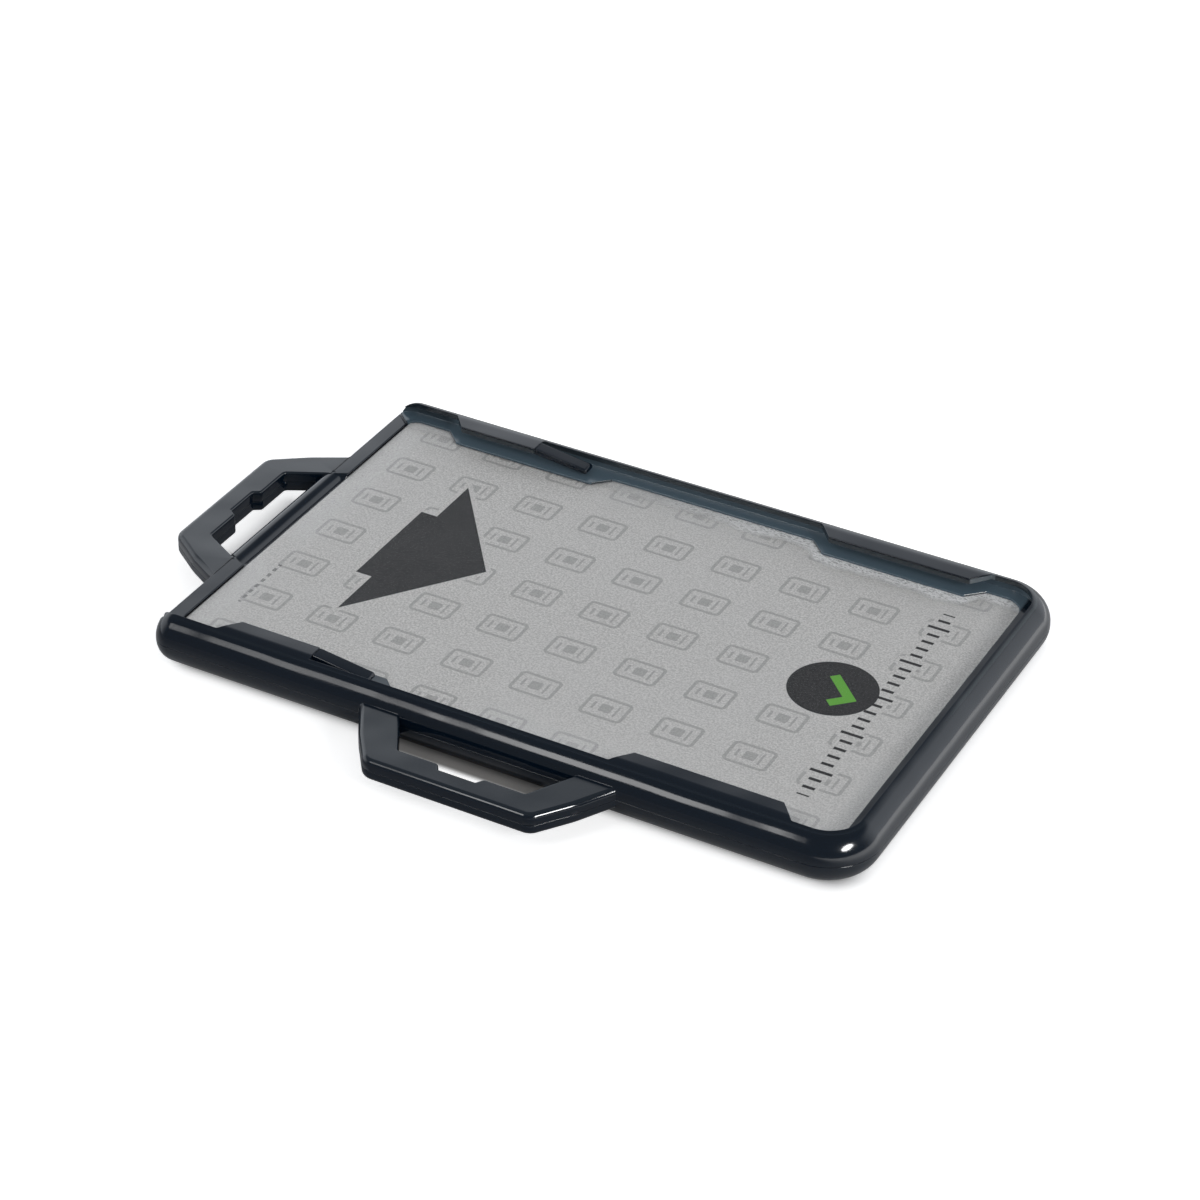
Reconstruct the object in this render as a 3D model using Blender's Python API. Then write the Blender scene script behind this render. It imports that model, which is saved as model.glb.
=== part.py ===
"""Rigid badge holder for ID-1 cards, lying flat with its open end towards -X.

Two moulded half frames meet at a parting plane halfway up and trap a shield
panel between them. Each face has a card tray with a bezel round the panel and
two lips on either long side. The lips nearer the open end end in spring
tongues that press the card onto the bezel. A loop with a slot at the open end
and another on the near long side take a lanyard clip. Bezel, lips and tongues
are moulded in one with their frame and are pieces of their own here, so that
the card's channel stays open between simple solids.
"""
import math

import bmesh
import bpy
from mathutils import Matrix, Vector

MM = 0.001

# Card that the trays are made for, ID-1
CARD_LENGTH = 85.6
CARD_WIDTH = 54.0
CARD_THICKNESS = 0.76

# Running clearances of the card in its tray
CARD_SIDE_CLEARANCE = 0.9
CARD_END_CLEARANCE = 2.4
CARD_LIFT_CLEARANCE = 0.29

# Frame
WALL_THICKNESS = 1.8
FRAME_THICKNESS = 6.6
EDGE_ROUNDING = 3.2
CLOSED_CORNER_RADIUS = 6.4
NOSE_RADIUS = 4.0
RIM_OVERHANG = 0.6
EDGE_SEGMENTS = 6

# Lips over the tray, set in from the open and the closed end
LIP_THICKNESS = 0.85
LIP_OVERHANG = 2.4
LIP_CHAMFER_LENGTH = 2.0
OPEN_LIP_INSET = 8.15
OPEN_LIP_LENGTH = 12.45
CLOSED_LIP_INSET = 8.8
CLOSED_LIP_LENGTH = 22.1

# Spring tongues that carry the open-end lips on
TONGUE_LENGTH = 7.3
TONGUE_SLOT = 0.6
TONGUE_ROOT_GAP = 0.15
TONGUE_TIP_THICKNESS = 0.7
TONGUE_SEAT_GAP = 0.3
TONGUE_TIP_RADIUS = 0.2

# Bezel round the window, which holds the panel in, with a wide pad under each lip
BEZEL_CLEARANCE = 0.05
LEDGE_THICKNESS = 0.3
LEDGE_WIDTH = 1.65
CLOSED_LEDGE_WIDTH = 2.1
PAD_WIDTH = 3.8
PAD_CHAMFER_LENGTH = 2.2
OPEN_PAD_LEAD = 0.55
OPEN_PAD_TAIL = 3.2
CLOSED_PAD_LEAD = 0.7
WINDOW_OPEN_CHAMFER = 1.2
WINDOW_CLOSED_RADIUS = 2.6

# Bar across the open end
BAR_WIDTH = 2.05
BAR_RELIEF_DEPTH = 0.2
BAR_RELIEF_OVERLAP = 0.1

# Loops, flush with the ledge so that a card or a clip slides over them
LOOP_EDGE_ROUNDING = 0.4
LOOP_EDGE_SEGMENTS = 2
LOOP_ROOT_SHORTFALL = 0.1
LOOP_ARM_BULGE = 0.35
LOOP_ARM_RADIUS = 12.0
LOOP_CORNER_RADIUS = 1.4
SLOT_CORNER_RADIUS = 0.5
NOTCH_DEPTH = 0.9
NOTCH_HALF_WIDTH = 2.9
NOTCH_STEP = 0.6

TOP_LOOP_REACH = 8.8
TOP_LOOP_BAR = 3.9
TOP_LOOP_HALF_WIDTH = 9.9
TOP_LOOP_HALF_BASE = 15.6
TOP_SLOT_HALF_WIDTH = 8.1
TOP_SLOT_HALF_BASE = 10.8
TOP_LOOP_SHIFT = -0.75

SIDE_LOOP_REACH = 8.8
SIDE_LOOP_BAR = 3.5
SIDE_LOOP_HALF_WIDTH = 10.5
SIDE_LOOP_HALF_BASE = 16.2
SIDE_SLOT_HALF_WIDTH = 8.0
SIDE_SLOT_HALF_BASE = 11.0

# Shield panel, a core plate with a foil, a printed sheet and a film on each face
FOIL_THICKNESS = 0.1
SHEET_THICKNESS = 0.1
FILM_THICKNESS = 0.15
PANEL_TRAP = 1.2
PANEL_CLEARANCE = 0.3
PANEL_OPEN_CLEARANCE = 0.1
PANEL_CORNER_RADIUS = 2.0

# How far cutters run past what they cut
OVERRUN = 2.0
ARC_STEP = math.radians(15)

# Sizes that follow from those above
TRAY_HALF_WIDTH = CARD_WIDTH / 2 + CARD_SIDE_CLEARANCE
RIM_HALF_WIDTH = TRAY_HALF_WIDTH - RIM_OVERHANG
HALF_WIDTH = TRAY_HALF_WIDTH + WALL_THICKNESS
HALF_LENGTH = (CARD_LENGTH + CARD_END_CLEARANCE + WALL_THICKNESS) / 2
HALF_THICKNESS = FRAME_THICKNESS / 2
TRAY_END = HALF_LENGTH - WALL_THICKNESS
RIM_END = TRAY_END - RIM_OVERHANG
LIP_HALF_WIDTH = RIM_HALF_WIDTH - LIP_OVERHANG
LIP_BOTTOM = HALF_THICKNESS - LIP_THICKNESS
OPEN_LIP_START = -HALF_LENGTH + OPEN_LIP_INSET
OPEN_LIP_ROOT = OPEN_LIP_START + OPEN_LIP_LENGTH
CLOSED_LIP_END = HALF_LENGTH - CLOSED_LIP_INSET
CLOSED_LIP_START = CLOSED_LIP_END - CLOSED_LIP_LENGTH
LEDGE_TOP = LIP_BOTTOM - CARD_THICKNESS - CARD_LIFT_CLEARANCE
PANEL_TOP = LEDGE_TOP - LEDGE_THICKNESS
TRAY_CORNER_RADIUS = CLOSED_CORNER_RADIUS - WALL_THICKNESS
WINDOW_HALF_WIDTH = TRAY_HALF_WIDTH - LEDGE_WIDTH
PAD_HALF_WIDTH = TRAY_HALF_WIDTH - PAD_WIDTH
OPEN_PAD_START = OPEN_LIP_START - OPEN_PAD_LEAD
OPEN_PAD_END = OPEN_LIP_ROOT + TONGUE_LENGTH + OPEN_PAD_TAIL
CLOSED_PAD_START = CLOSED_LIP_START - CLOSED_PAD_LEAD
WINDOW_START = -HALF_LENGTH + BAR_WIDTH
WINDOW_END = TRAY_END - CLOSED_LEDGE_WIDTH
LOOP_TOP = LEDGE_TOP
POCKET_HALF_WIDTH = WINDOW_HALF_WIDTH + PANEL_TRAP
POCKET_END = WINDOW_END + PANEL_TRAP

# The holder's box stands on the origin, at the middle of its length and width
BODY_CENTRE = Vector((TOP_LOOP_REACH / 2, SIDE_LOOP_REACH / 2, HALF_THICKNESS)) * MM

SMOKE = (0.012, 0.018, 0.03)


def clear_scene():
    for item in list(bpy.data.objects):
        bpy.data.objects.remove(item, do_unlink=True)


def new_collection(name):
    group = bpy.data.collections.new(name)
    bpy.context.scene.collection.children.link(group)
    return group


def make_material(name, colour, roughness, metallic=0.0):
    material = bpy.data.materials.new(name)
    material.use_nodes = True
    shader = material.node_tree.nodes["Principled BSDF"]
    shader.inputs["Base Color"].default_value = (*colour, 1.0)
    shader.inputs["Roughness"].default_value = roughness
    shader.inputs["Metallic"].default_value = metallic
    return material


def rounded_outline(corners):
    """Turn (x, y, radius) corners into points, with an arc at each corner that has a radius."""
    points = []
    for index, (x, y, radius) in enumerate(corners):
        here = Vector((x, y))
        before = Vector(corners[index - 1][:2]) - here
        after = Vector(corners[(index + 1) % len(corners)][:2]) - here
        if radius <= 0:
            points.append(here)
            continue
        before.normalize()
        after.normalize()
        half_angle = before.angle(after) / 2
        centre = here + (before + after).normalized() * radius / math.sin(half_angle)
        tangent = radius / math.tan(half_angle)
        start = here + before * tangent - centre
        end = here + after * tangent - centre
        sweep = start.angle_signed(end)
        steps = max(2, math.ceil(abs(sweep) / ARC_STEP))
        for step in range(steps + 1):
            spoke = start.copy()
            spoke.rotate(Matrix.Rotation(-sweep * step / steps, 2))
            points.append(centre + spoke)
    return points


def mirrored_corners(far_side):
    """Close a far-side chain of corners with its mirror image on the near side."""
    near_side = [(x, -y, radius) for x, y, radius in reversed(far_side)]
    return far_side + near_side


def plate(name, corners, level_a, level_b, group):
    """A flat plate in millimetres about the frame's centre, between two levels."""
    low, high = sorted((level_a, level_b))
    curve = bpy.data.curves.new(name + "_outline", "CURVE")
    curve.dimensions = "2D"
    curve.fill_mode = "BOTH"
    curve.extrude = (high - low) / 2 * MM
    outline = rounded_outline(corners)
    spline = curve.splines.new("POLY")
    spline.points.add(len(outline) - 1)
    for point, place in zip(spline.points, outline):
        point.co = (place.x * MM, place.y * MM, 0.0, 1.0)
    spline.use_cyclic_u = True
    return curve_to_mesh(name, curve, Matrix.Translation((0, 0, (low + high) / 2 * MM)), group)


def curve_to_mesh(name, curve, placing, group):
    """Make a curve a welded mesh object at the frame's centre, with flat faces whole."""
    drawn = bpy.data.objects.new(curve.name, curve)
    group.objects.link(drawn)
    bpy.context.view_layer.update()
    mesh = bpy.data.meshes.new_from_object(drawn.evaluated_get(bpy.context.evaluated_depsgraph_get()))
    bpy.data.objects.remove(drawn, do_unlink=True)
    mesh.name = name
    shape = bmesh.new()
    shape.from_mesh(mesh)
    bmesh.ops.transform(shape, matrix=placing, verts=shape.verts)
    bmesh.ops.remove_doubles(shape, verts=shape.verts, dist=0.001 * MM)
    bmesh.ops.dissolve_limit(shape, angle_limit=math.radians(0.5), verts=shape.verts, edges=shape.edges)
    bmesh.ops.recalc_face_normals(shape, faces=shape.faces)
    shape.to_mesh(mesh)
    shape.free()
    made = bpy.data.objects.new(name, mesh)
    made.location = BODY_CENTRE
    group.objects.link(made)
    return made


def round_rim(item, level, width, segments):
    """Round the edges of the flat face at one level."""
    shape = bmesh.new()
    shape.from_mesh(item.data)
    at_level = [v for v in shape.verts if abs(v.co.z - level * MM) < 0.01 * MM]
    rim = [e for e in shape.edges if e.verts[0] in at_level and e.verts[1] in at_level]
    bmesh.ops.bevel(
        shape, geom=rim, offset=width * MM, offset_type="OFFSET", segments=segments,
        profile=0.5, affect="EDGES", clamp_overlap=True,
    )
    shape.to_mesh(item.data)
    shape.free()


def cut(item, cutters, operation="DIFFERENCE"):
    for tool in cutters:
        tool.hide_render = True
        tool.display_type = "WIRE"
        step = item.modifiers.new(tool.name, "BOOLEAN")
        step.operation = operation
        step.object = tool


def frame_outline():
    return mirrored_corners([
        (-HALF_LENGTH, HALF_WIDTH, NOSE_RADIUS),
        (HALF_LENGTH, HALF_WIDTH, CLOSED_CORNER_RADIUS),
    ])


def tray_outline(clearance):
    """The tray past the bar, where the bezel lies."""
    edge = TRAY_HALF_WIDTH - clearance
    return mirrored_corners([
        (WINDOW_START + clearance, edge, 0),
        (TRAY_END - clearance, edge, TRAY_CORNER_RADIUS - clearance),
    ])


def mouth_outline():
    """The tray's upper opening between the rims."""
    return mirrored_corners([
        (-HALF_LENGTH - OVERRUN, RIM_HALF_WIDTH, 0),
        (RIM_END, RIM_HALF_WIDTH, TRAY_CORNER_RADIUS - RIM_OVERHANG),
    ])


def lip_outlines():
    """Both lips of one long side from above, as (x, distance from the middle)."""
    open_lip = [
        (OPEN_LIP_START, RIM_HALF_WIDTH),
        (OPEN_LIP_START + LIP_CHAMFER_LENGTH, LIP_HALF_WIDTH),
        (OPEN_LIP_ROOT, LIP_HALF_WIDTH),
        (OPEN_LIP_ROOT, RIM_HALF_WIDTH),
    ]
    closed_lip = [
        (CLOSED_LIP_START, RIM_HALF_WIDTH),
        (CLOSED_LIP_START + LIP_CHAMFER_LENGTH, LIP_HALF_WIDTH),
        (CLOSED_LIP_END - LIP_CHAMFER_LENGTH, LIP_HALF_WIDTH),
        (CLOSED_LIP_END, RIM_HALF_WIDTH),
    ]
    return [("open_lip", open_lip), ("closed_lip", closed_lip)]


def window_outline():
    """The opening in the bezel over the panel, narrower under each lip."""
    return mirrored_corners([
        (WINDOW_START - OVERRUN, WINDOW_HALF_WIDTH - WINDOW_OPEN_CHAMFER, 0),
        (WINDOW_START, WINDOW_HALF_WIDTH - WINDOW_OPEN_CHAMFER, 0),
        (WINDOW_START + WINDOW_OPEN_CHAMFER, WINDOW_HALF_WIDTH, 0),
        (OPEN_PAD_START, WINDOW_HALF_WIDTH, 0),
        (OPEN_PAD_START + PAD_CHAMFER_LENGTH, PAD_HALF_WIDTH, 0),
        (OPEN_PAD_END - PAD_CHAMFER_LENGTH, PAD_HALF_WIDTH, 0),
        (OPEN_PAD_END, WINDOW_HALF_WIDTH, 0),
        (CLOSED_PAD_START, WINDOW_HALF_WIDTH, 0),
        (CLOSED_PAD_START + PAD_CHAMFER_LENGTH, PAD_HALF_WIDTH, 0),
        (CLOSED_LIP_END - PAD_CHAMFER_LENGTH, PAD_HALF_WIDTH, 0),
        (CLOSED_LIP_END, WINDOW_HALF_WIDTH, 0),
        (WINDOW_END, WINDOW_HALF_WIDTH, WINDOW_CLOSED_RADIUS),
    ])


def panel_outline(clearance, open_clearance):
    return mirrored_corners([
        (WINDOW_START + open_clearance, POCKET_HALF_WIDTH - clearance, PANEL_CORNER_RADIUS),
        (POCKET_END - clearance, POCKET_HALF_WIDTH - clearance, PANEL_CORNER_RADIUS),
    ])


def loop_corners(reach, bar, half_width, half_base, slot_half_width, slot_half_base, root):
    """A loop's half outline as (reach, offset, radius): its arm, its bar and the notch in its slot."""
    slope = (half_base - half_width) / reach
    slot_reach = reach - bar
    slot_slope = (slot_half_base - slot_half_width) / slot_reach
    bulge = (half_base + half_width) / 2 + LOOP_ARM_BULGE
    return [
        (-root, half_base + slope * root, 0),
        (reach / 2, bulge, LOOP_ARM_RADIUS),
        (reach, half_width, LOOP_CORNER_RADIUS),
        (reach, -half_width, LOOP_CORNER_RADIUS),
        (reach / 2, -bulge, LOOP_ARM_RADIUS),
        (-root, -half_base - slope * root, 0),
        (-root, -slot_half_base - slot_slope * root, 0),
        (slot_reach, -slot_half_width, SLOT_CORNER_RADIUS),
        (slot_reach, -NOTCH_HALF_WIDTH, 0),
        (slot_reach + NOTCH_DEPTH, -NOTCH_HALF_WIDTH + NOTCH_STEP, 0),
        (slot_reach + NOTCH_DEPTH, NOTCH_HALF_WIDTH - NOTCH_STEP, 0),
        (slot_reach, NOTCH_HALF_WIDTH, 0),
        (slot_reach, slot_half_width, SLOT_CORNER_RADIUS),
        (-root, slot_half_base + slot_slope * root, 0),
    ]


def top_loop_outline():
    corners = loop_corners(
        TOP_LOOP_REACH, TOP_LOOP_BAR, TOP_LOOP_HALF_WIDTH, TOP_LOOP_HALF_BASE,
        TOP_SLOT_HALF_WIDTH, TOP_SLOT_HALF_BASE, BAR_WIDTH - LOOP_ROOT_SHORTFALL,
    )
    return [(-HALF_LENGTH - reach, TOP_LOOP_SHIFT - offset, radius) for reach, offset, radius in corners]


def side_loop_outline():
    corners = loop_corners(
        SIDE_LOOP_REACH, SIDE_LOOP_BAR, SIDE_LOOP_HALF_WIDTH, SIDE_LOOP_HALF_BASE,
        SIDE_SLOT_HALF_WIDTH, SIDE_SLOT_HALF_BASE, WALL_THICKNESS - LOOP_ROOT_SHORTFALL,
    )
    return [(offset, -HALF_WIDTH - reach, radius) for reach, offset, radius in corners]


def box_outline(x_low, x_high, y_low, y_high):
    return [(x_low, y_low, 0), (x_high, y_low, 0), (x_high, y_high, 0), (x_low, y_high, 0)]


def half_frame(face, side, parts, tools):
    """One half of the frame with its bezel and lips; side is 1 for the front and -1 for the back."""
    name = face + "_frame"
    above = side * (HALF_THICKNESS + OVERRUN)
    below = -side * OVERRUN
    mid_channel = side * (LEDGE_TOP + LIP_BOTTOM) / 2
    mid_panel = side * PANEL_TOP / 2
    frame = plate(name, frame_outline(), 0, side * HALF_THICKNESS, parts)
    blank = plate(name + "_blank", frame_outline(), 0, side * HALF_THICKNESS, tools)
    for rounded in (frame, blank):
        round_rim(rounded, side * HALF_THICKNESS, EDGE_ROUNDING, EDGE_SEGMENTS)

    over_bar = box_outline(
        -HALF_LENGTH - OVERRUN, WINDOW_START + OVERRUN, -TRAY_HALF_WIDTH, TRAY_HALF_WIDTH,
    )
    relief_half = (TOP_LOOP_HALF_BASE + TOP_SLOT_HALF_BASE) / 2
    cut(frame, [
        plate(name + "_tray_cut", tray_outline(0), side * PANEL_TOP, side * LIP_BOTTOM, tools),
        plate(name + "_over_bar_cut", over_bar, side * LEDGE_TOP, side * LIP_BOTTOM, tools),
        plate(name + "_mouth_cut", mouth_outline(), mid_channel, above, tools),
        plate(name + "_panel_cut", panel_outline(0, 0), below, side * PANEL_TOP, tools),
        plate(
            name + "_relief_cut",
            box_outline(
                -HALF_LENGTH - OVERRUN, WINDOW_START + BAR_RELIEF_OVERLAP,
                TOP_LOOP_SHIFT - relief_half, TOP_LOOP_SHIFT + relief_half,
            ),
            side * (LOOP_TOP - BAR_RELIEF_DEPTH), mid_channel, tools,
        ),
    ])
    loops = [
        plate(name + "_top_loop", top_loop_outline(), 0, side * LOOP_TOP, tools),
        plate(name + "_side_loop", side_loop_outline(), 0, side * LOOP_TOP, tools),
    ]
    for loop in loops:
        round_rim(loop, side * LOOP_TOP, LOOP_EDGE_ROUNDING, LOOP_EDGE_SEGMENTS)
    cut(frame, loops, "UNION")
    frame.data.materials.append(make_material(name, SMOKE, 0.12))

    bezel_name = face + "_bezel"
    bezel = plate(bezel_name, tray_outline(BEZEL_CLEARANCE), side * PANEL_TOP, side * LEDGE_TOP, parts)
    cut(bezel, [plate(bezel_name + "_window_cut", window_outline(), mid_panel, mid_channel, tools)])
    bezel.data.materials.append(make_material(bezel_name, SMOKE, 0.12))
    for flank, across in (("near", -1), ("far", 1)):
        for kind, outline in lip_outlines():
            lip_name = f"{face}_{flank}_{kind}"
            corners = [(x, across * y, 0) for x, y in outline]
            lip = plate(lip_name, corners, side * LIP_BOTTOM, above, parts)
            cut(lip, [blank], "INTERSECT")
            lip.data.materials.append(make_material(lip_name, SMOKE, 0.12))


def tongue(name, side, across, parts):
    """A spring tongue, drawn from the side with its origin on the hinge at the lip's cut end."""
    root_half = LIP_THICKNESS / 2
    tip_bottom = LEDGE_TOP + TONGUE_SEAT_GAP - (HALF_THICKNESS - root_half)
    tip_top = tip_bottom + TONGUE_TIP_THICKNESS
    corners = [
        (TONGUE_ROOT_GAP, side * root_half, 0),
        (TONGUE_ROOT_GAP, -side * root_half, 0),
        (TONGUE_LENGTH, side * tip_bottom, TONGUE_TIP_RADIUS),
        (TONGUE_LENGTH, side * tip_top, TONGUE_TIP_RADIUS),
    ]
    width = LIP_OVERHANG - TONGUE_SLOT
    stands_up = Matrix.Rotation(math.radians(90), 4, "X")
    curve = bpy.data.curves.new(name + "_profile", "CURVE")
    curve.dimensions = "2D"
    curve.fill_mode = "BOTH"
    curve.extrude = width / 2 * MM
    outline = rounded_outline(corners)
    spline = curve.splines.new("POLY")
    spline.points.add(len(outline) - 1)
    for point, place in zip(spline.points, outline):
        point.co = (place.x * MM, place.y * MM, 0.0, 1.0)
    spline.use_cyclic_u = True
    made = curve_to_mesh(name, curve, stands_up, parts)
    made.location = BODY_CENTRE + Vector((
        OPEN_LIP_ROOT,
        across * (LIP_HALF_WIDTH + width / 2),
        side * (HALF_THICKNESS - root_half),
    )) * MM
    made.data.materials.append(make_material(name, SMOKE, 0.12))
    return made


def shield_panel(parts):
    """The core plate and the three thin layers on each of its faces."""
    layers = [
        ("clear_film", FILM_THICKNESS, (0.8, 0.82, 0.82), 0.15, 0.0),
        ("printed_sheet", SHEET_THICKNESS, (0.52, 0.52, 0.51), 0.45, 0.3),
        ("shield_foil", FOIL_THICKNESS, (0.6, 0.6, 0.61), 0.35, 1.0),
    ]
    outline = panel_outline(PANEL_CLEARANCE, PANEL_OPEN_CLEARANCE)
    level = PANEL_TOP
    for layer, thickness, colour, roughness, metallic in layers:
        for face, side in (("front", 1), ("back", -1)):
            name = face + "_" + layer
            sheet = plate(name, outline, side * (level - thickness), side * level, parts)
            sheet.data.materials.append(make_material(name, colour, roughness, metallic))
        level -= thickness
    core = plate("core_plate", outline, -level, level, parts)
    core.data.materials.append(make_material("core_plate", (0.25, 0.26, 0.27), 0.6))


def build():
    clear_scene()
    parts = new_collection("badge_holder")
    tools = new_collection("cutters")
    for face, side in (("front", 1), ("back", -1)):
        half_frame(face, side, parts, tools)
        for flank, across in (("near", -1), ("far", 1)):
            tongue(face + "_" + flank + "_tongue", side, across, parts)
    shield_panel(parts)


build()
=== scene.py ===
"""Looks for the rigid badge holder: smoke plastic half shells with lips, tongues and
slotted loops, round a printed silver panel under clear film, on a white table."""
import math

import bmesh
import bpy
from mathutils import Matrix, Vector


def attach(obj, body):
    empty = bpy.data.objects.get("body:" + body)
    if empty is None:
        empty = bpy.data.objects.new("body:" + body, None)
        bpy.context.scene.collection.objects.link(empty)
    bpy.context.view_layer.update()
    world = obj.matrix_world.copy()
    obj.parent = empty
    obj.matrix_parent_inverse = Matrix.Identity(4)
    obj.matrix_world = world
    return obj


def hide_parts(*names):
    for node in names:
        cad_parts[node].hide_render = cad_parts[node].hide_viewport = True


MM = 0.001

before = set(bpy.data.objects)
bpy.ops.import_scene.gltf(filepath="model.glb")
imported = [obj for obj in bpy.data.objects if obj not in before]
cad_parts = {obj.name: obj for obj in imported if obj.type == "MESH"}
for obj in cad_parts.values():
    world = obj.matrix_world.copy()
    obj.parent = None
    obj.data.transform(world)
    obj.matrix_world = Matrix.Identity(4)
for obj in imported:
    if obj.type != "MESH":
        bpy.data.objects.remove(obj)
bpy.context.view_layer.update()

# Outer form of the moulded frame, in millimetres about its centre
HALF_LENGTH = 44.9
HALF_WIDTH = 29.7
HALF_THICKNESS = 3.3
WALL_THICKNESS = 1.8
EDGE_ROUNDING = 3.2
CLOSED_CORNER_RADIUS = 6.4
NOSE_ROUNDING = 2.6
EDGE_SOFTNESS = 0.09
PARTING_SOFTNESS = 0.05

# Card tray, its rims and its lips
TRAY_HALF_WIDTH = HALF_WIDTH - WALL_THICKNESS
TRAY_END = HALF_LENGTH - WALL_THICKNESS
TRAY_CORNER_RADIUS = CLOSED_CORNER_RADIUS - WALL_THICKNESS
RIM_OVERHANG = 0.6
RIM_HALF_WIDTH = TRAY_HALF_WIDTH - RIM_OVERHANG
RIM_END = TRAY_END - RIM_OVERHANG
LIP_WIDTH = 2.4
LIP_HALF_WIDTH = RIM_HALF_WIDTH - LIP_WIDTH
LIP_BOTTOM = 2.45
LIP_CHAMFER = 2.0
OPEN_LIP = (-36.75, -24.3)
CLOSED_LIP = (14.0, 36.1)
LEDGE_TOP = 1.4
MOULDED_CORNER = 0.3

# Walls that curl in at the open end: the bends' radius, how far inside the end they are,
# and how far in a wall has come at the overrun past the end
NOSE_WALL_BEND = 3.0
RIM_BEND_DEPTH = 2.0
CHANNEL_BEND_DEPTH = 1.7
MOUTH_OVERRUN = 3.0
NOSE_WALL_INSET = 2.35

# Spring tongues, with a V-shaped gap at the root that is wider at its top
TONGUE_END = -17.0
TONGUE_WIDTH = 1.8
TONGUE_TIP_BOTTOM = 1.7
TONGUE_TIP_TOP = 2.4
TONGUE_TIP_ROUNDING = 0.33
TONGUE_EDGE_ROUNDING = 0.2
TONGUE_ROOT_ROUNDING = 0.04
ROOT_GAP_BOTTOM = 0.02
ROOT_GAP_TOP = 0.08

# Window over the panel, with pads under the lips
BAR_WIDTH = 2.05
WINDOW_START = -HALF_LENGTH + BAR_WIDTH
WINDOW_END = 41.0
WINDOW_HALF_WIDTH = 26.25
WINDOW_OPEN_RADIUS = 1.5
WINDOW_CLOSED_RADIUS = 2.6
PAD_HALF_WIDTH = 24.1
PAD_CHAMFER = 2.2
OPEN_PAD = (-37.3, -13.8)
CLOSED_PAD = (13.3, 36.1)

# Panel, in a pocket that traps its edges under the ledge
LEDGE_THICKNESS = 0.3
PANEL_TOP = LEDGE_TOP - LEDGE_THICKNESS
PANEL_TRAP = 1.2
PANEL_CORNER_RADIUS = 2.0
PANEL_CLEARANCE = 0.3
PANEL_OPEN_CLEARANCE = 0.1
POCKET_HALF_WIDTH = WINDOW_HALF_WIDTH + PANEL_TRAP
POCKET_END = WINDOW_END + PANEL_TRAP
FILM_THICKNESS = 0.13
FILM_EDGE_ROUNDING = 0.03

# Slotted loops
LOOP_TOP = 1.37
LOOP_BOTTOM = -0.8
LOOP_EDGE_ROUNDING = 0.68
SLOT_EDGE_ROUNDING = 0.3
ARM_BULGE = 0.35
ARM_RADIUS = 12.0
LOOP_CORNER_RADIUS = 1.9
SLOT_CORNER_RADIUS = 0.5
NOTCH_DEPTH = 0.9
NOTCH_HALF_WIDTH = 2.9
NOTCH_STEP = 0.6
NOTCH_OUTER_RADIUS = 0.5
NOTCH_INNER_RADIUS = 0.15
TOP_LOOP = dict(reach=8.8, bar=3.9, half_width=9.9, half_base=15.6,
                slot_half_width=8.1, slot_half_base=10.8, root=1.95)
SIDE_LOOP = dict(reach=8.8, bar=3.5, half_width=10.5, half_base=16.2,
                 slot_half_width=8.0, slot_half_base=11.0, root=1.7)
TOP_LOOP_SHIFT = -0.75

# Round bar across the open end, and the hollow that it lies in
BAR_PLACE = (-44.62, -0.05)
BAR_RADIUS = 1.45
BAR_BOTTOM = -0.6
BAR_EMBED = 0.5
SCOOP_FLOOR = 0.55
SCOOP_TOP = 3.2
SCOOP_ROUNDING = 1.3
END_OVERRUN = 0.3

# Levels that the blank and its cuts run to. The cuts from above and below meet inside the channel.
BLANK_BOTTOM = -1.0
CUT_BOTTOM = -2.0
CUTS_MEET = 1.9

# Frame centre above the table, with the loops on two of its sides
BODY_CENTRE = Vector((TOP_LOOP["reach"] / 2, SIDE_LOOP["reach"] / 2, HALF_THICKNESS))


# Modelling by hand

def pick(piece):
    """Select one piece alone, and make it the active one."""
    bpy.ops.object.select_all(action="DESELECT")
    bpy.context.view_layer.objects.active = piece
    piece.select_set(True)


def to_edit(piece):
    pick(piece)
    bpy.ops.object.mode_set(mode="EDIT")


def to_object():
    bpy.ops.object.mode_set(mode="OBJECT")


def settle(piece):
    """Put the piece's place into its mesh, with its object at the origin."""
    pick(piece)
    bpy.ops.object.transform_apply(location=True, rotation=True, scale=True)


def select_edges(piece, wanted):
    bpy.ops.mesh.select_mode(type="EDGE")
    bpy.ops.mesh.select_all(action="DESELECT")
    mesh = bmesh.from_edit_mesh(piece.data)
    for edge in mesh.edges:
        if wanted(edge):
            edge.select_set(True)
    bmesh.update_edit_mesh(piece.data)


def middle(edge):
    """The middle of an edge, in millimetres about the frame's centre."""
    return (edge.verts[0].co + edge.verts[1].co) / 2 / MM - BODY_CENTRE


def is_near(value, wanted):
    return abs(value - wanted) < 0.002


def is_level(edge, level):
    return all(is_near(v.co.z / MM - BODY_CENTRE.z, level) for v in edge.verts)


def is_sharp(edge, degrees):
    return len(edge.link_faces) == 2 and edge.calc_face_angle() > math.radians(degrees)


def round_edges(piece, wanted, width, segments):
    to_edit(piece)
    select_edges(piece, wanted)
    bpy.ops.mesh.bevel(offset_type="OFFSET", offset=width * MM, segments=segments, profile=0.5,
                       clamp_overlap=False)
    to_object()


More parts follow.
